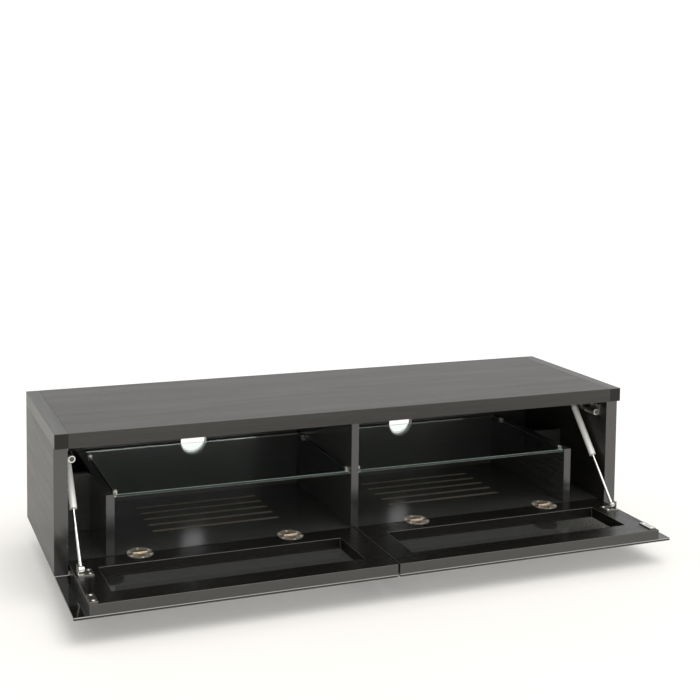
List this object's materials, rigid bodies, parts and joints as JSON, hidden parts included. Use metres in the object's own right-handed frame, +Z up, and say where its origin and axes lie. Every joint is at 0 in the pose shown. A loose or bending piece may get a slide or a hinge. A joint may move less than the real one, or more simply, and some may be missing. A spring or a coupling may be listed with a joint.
{
  "type": "media cabinet",
  "caption": "Low media cabinet with drop-down glass-faced doors on gas struts, glass shelves, a centre divider and vent slots.",
  "frame": {"origin": "on the floor, under the middle of the cabinet body, at the bottom of the middle foot", "axes": "+X to the cabinet's right as seen from the front, -Y out of the front, +Z up"},
  "size_m": [1.2, 0.5534, 0.32],
  "materials": {
    "top_veneer": "dark charcoal wood veneer, satin lacquer",
    "end_veneer": "lighter grey cross-grain veneer, satin lacquer",
    "side_veneer": "grey wood veneer, satin lacquer",
    "inner_board": "black lacquered board, semi-gloss",
    "door_wood": "dark charcoal wood veneer, semi-gloss lacquer",
    "shelf_glass": "clear float glass, polished edges",
    "pane_glass": "dark infrared-friendly glass, polished",
    "nickel": "satin nickel plate",
    "steel": "zinc-plated steel",
    "strut_silver": "silver paint, satin",
    "magnet": "sintered ferrite, ground grey",
    "black_plastic": "black moulded plastic, matt"
  },
  "bodies": {
    "cabinet": {"top_panel": "top_veneer", "top_end_left": "end_veneer", "top_end_right": "end_veneer", "side_panel_left": "side_veneer", "side_panel_right": "side_veneer", "bottom_panel": "inner_board", "back_panel": "inner_board", "centre_divider": "inner_board", "upright_left": "inner_board", "upright_right": "inner_board", "cross_panel_left": "inner_board", "cross_panel_right": "inner_board", "glass_shelf_left": "shelf_glass", "glass_shelf_right": "shelf_glass", "shelf_clips_left": "steel", "shelf_clips_right": "steel", "foot_1": "black_plastic", "foot_2": "black_plastic", "foot_3": "black_plastic", "foot_4": "black_plastic", "foot_5": "black_plastic", "hinge_plate_1": "nickel", "hinge_plate_2": "nickel", "hinge_plate_3": "nickel", "hinge_plate_4": "nickel", "hinge_pin_1": "steel", "hinge_pin_2": "steel", "hinge_pin_3": "steel", "hinge_pin_4": "steel", "cabinet_screws": "steel", "back_screws": "steel", "catch_left": "steel", "catch_right": "steel", "catch_magnet_left": "magnet", "catch_magnet_right": "magnet", "strut_mount_left": "steel", "strut_mount_right": "steel"},
    "left_door": {"door_frame_left": "door_wood", "door_pane_left": "pane_glass", "door_screws_left": "steel", "strike_plate_left": "steel", "door_bracket_left": "steel", "hinge_flap_1": "nickel", "hinge_flap_2": "nickel"},
    "left_rod": {"strut_rod_left": "steel"},
    "left_cylinder": {"strut_cylinder_left": "strut_silver"},
    "right_door": {"door_frame_right": "door_wood", "door_pane_right": "pane_glass", "door_screws_right": "steel", "strike_plate_right": "steel", "door_bracket_right": "steel", "hinge_flap_3": "nickel", "hinge_flap_4": "nickel"},
    "right_rod": {"strut_rod_right": "steel"},
    "right_cylinder": {"strut_cylinder_right": "strut_silver"}
  },
  "joints": [
    {"name": "left_door_swing", "type": "hinge", "parent": "cabinet", "child": "left_door", "pos_m": [-0.288, -0.1525, 0.073], "axis": [-1, 0, 0], "range_deg": [0, 90]},
    {"name": "left_strut_turn", "type": "hinge", "parent": "left_door", "child": "left_rod", "pos_m": [-0.56, -0.2215, 0.081], "axis": [-1, 0, 0], "range_deg": [-97.18, 0]},
    {"name": "left_strut_slide", "type": "slide", "parent": "left_rod", "child": "left_cylinder", "axis": [0, -0.6564, -0.7544], "range_m": [0, 0.09544]},
    {"name": "right_door_swing", "type": "hinge", "parent": "cabinet", "child": "right_door", "pos_m": [0.288, -0.1525, 0.073], "axis": [-1, 0, 0], "range_deg": [0, 90]},
    {"name": "right_strut_turn", "type": "hinge", "parent": "right_door", "child": "right_rod", "pos_m": [0.56, -0.2215, 0.081], "axis": [-1, 0, 0], "range_deg": [-97.18, 0]},
    {"name": "right_strut_slide", "type": "slide", "parent": "right_rod", "child": "right_cylinder", "axis": [0, -0.6564, -0.7544], "range_m": [0, 0.09544]}
  ],
  "couplings": [
    {"joint": "left_strut_turn", "follows": "left_door_swing", "ratio": -1.0797},
    {"joint": "left_strut_slide", "follows": "left_door_swing", "m_per_rad": 0.060754},
    {"joint": "right_strut_turn", "follows": "right_door_swing", "ratio": -1.0797},
    {"joint": "right_strut_slide", "follows": "right_door_swing", "m_per_rad": 0.060754}
  ]
}
